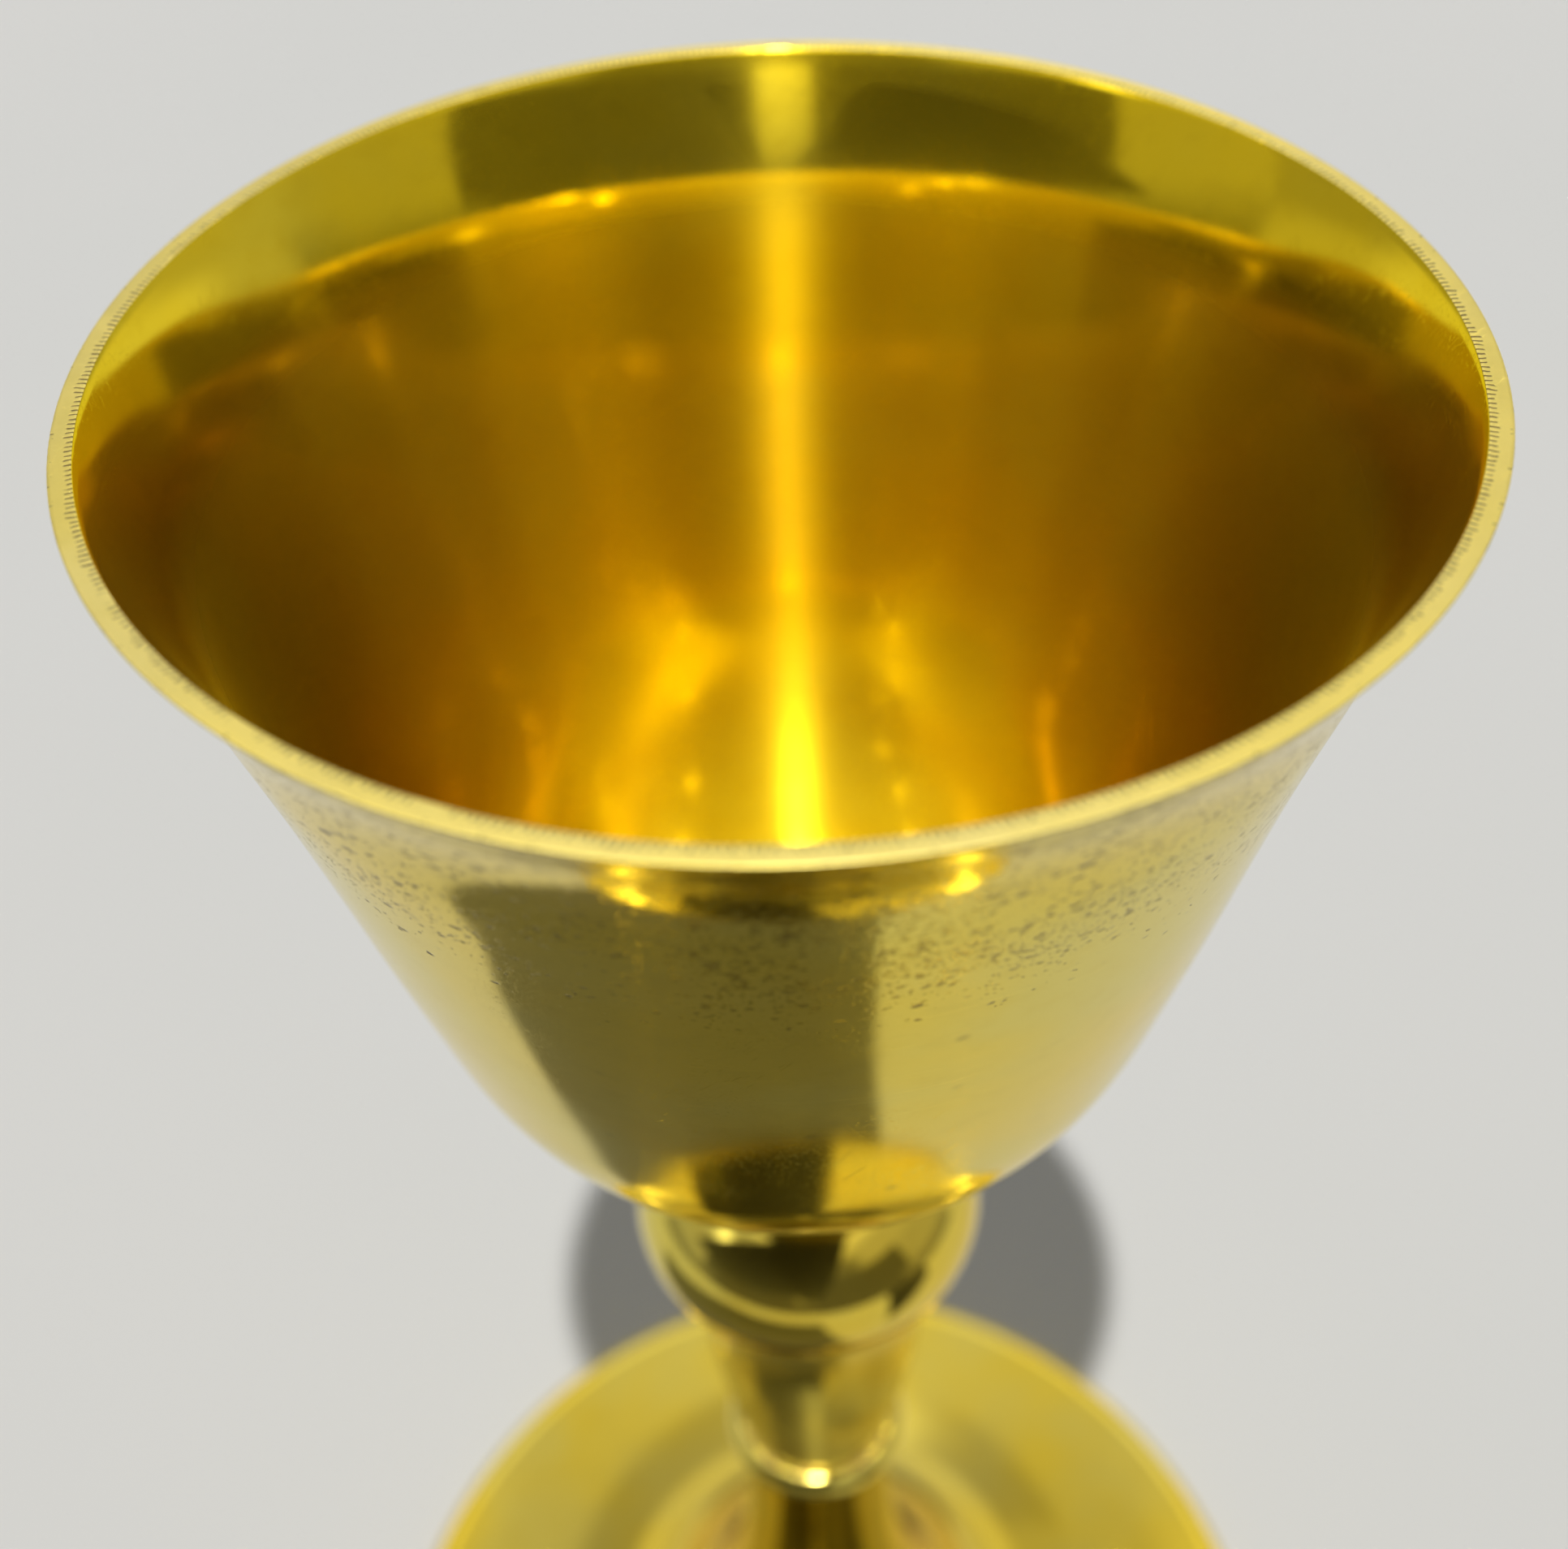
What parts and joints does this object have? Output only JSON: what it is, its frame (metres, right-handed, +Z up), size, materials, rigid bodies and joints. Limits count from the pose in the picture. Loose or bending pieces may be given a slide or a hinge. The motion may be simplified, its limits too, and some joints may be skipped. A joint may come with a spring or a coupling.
{
  "type": "communion chalice",
  "caption": "Stemmed ceremonial cup in polished brass: flared bowl, rounded knop, tapering stem, bead ring and wide trumpet foot on one tie rod.",
  "frame": {"origin": "centre of the foot on the plane it stands on", "axes": "+Z up along the axis of the cup and stem; the object is round, so +X and +Y are any two horizontal directions"},
  "size_m": [0.121, 0.121, 0.218],
  "materials": {
    "cup_brass": "mirror polished, light scratches and pitting",
    "boss_brass": "turned",
    "collar_brass": "mirror polished",
    "knop_brass": "mirror polished",
    "tube_brass": "drawn tube, cut and faced",
    "stem_brass": "mirror polished",
    "ring_brass": "mirror polished",
    "foot_brass": "mirror polished outside, brushed inside",
    "base_ring_brass": "turned, worn flat",
    "rod_steel": "threaded steel",
    "washer_brass": "stamped, dull",
    "washer_steel": "spring steel",
    "nut_steel": "zinc plated"
  },
  "bodies": {
    "root": {"cup": "cup_brass", "cup_boss": "boss_brass", "upper_collar": "collar_brass", "knop_upper": "knop_brass", "knop_lower": "knop_brass", "knop_tube": "tube_brass", "stem_cone": "stem_brass", "stem_ring": "ring_brass", "foot_shell": "foot_brass", "foot_base_ring": "base_ring_brass", "foot_tube": "tube_brass", "tie_rod": "rod_steel", "clamp_washer": "washer_brass", "spring_washer": "washer_steel", "hex_nut": "nut_steel"}
  },
  "joints": []
}
